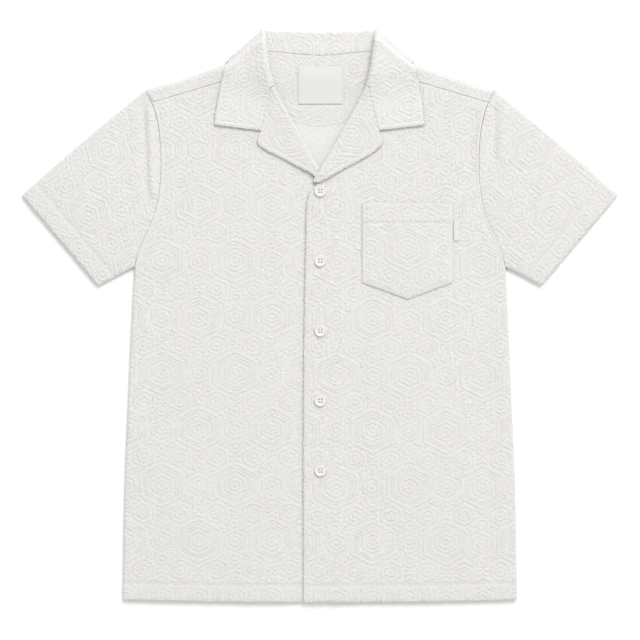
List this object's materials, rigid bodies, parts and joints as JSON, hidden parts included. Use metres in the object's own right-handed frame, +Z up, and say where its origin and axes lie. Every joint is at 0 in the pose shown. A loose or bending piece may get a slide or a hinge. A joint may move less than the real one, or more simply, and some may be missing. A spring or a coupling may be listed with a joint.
{
  "type": "short-sleeved camp shirt",
  "caption": "Terry camp shirt laid flat, buttoned, with a notched open collar, short sleeves, a shoulder yoke and a chest pocket with a pointed bottom.",
  "frame": {"origin": "on the surface the shirt lies on, under the middle of its outline", "axes": "+X towards the wearer's left sleeve, +Y towards the collar, +Z up out of the surface, with the front of the shirt facing +Z"},
  "size_m": [0.7714, 0.7418, 0.016],
  "materials": {
    "terry": "off-white terry cloth with a raised hexagon relief",
    "woven_label": "smooth woven tape",
    "button": "soft gloss, off-white"
  },
  "bodies": {
    "root": {"back_panel": "terry", "yoke": "terry", "front_left": "terry", "front_right": "terry", "sleeve_left": "terry", "sleeve_right": "terry", "collar": "terry", "lapel_left": "terry", "lapel_right": "terry", "pocket": "terry", "pocket_tab": "woven_label", "neck_label": "woven_label", "button_1": "button", "button_2": "button", "button_3": "button", "button_4": "button", "button_5": "button"}
  },
  "joints": []
}
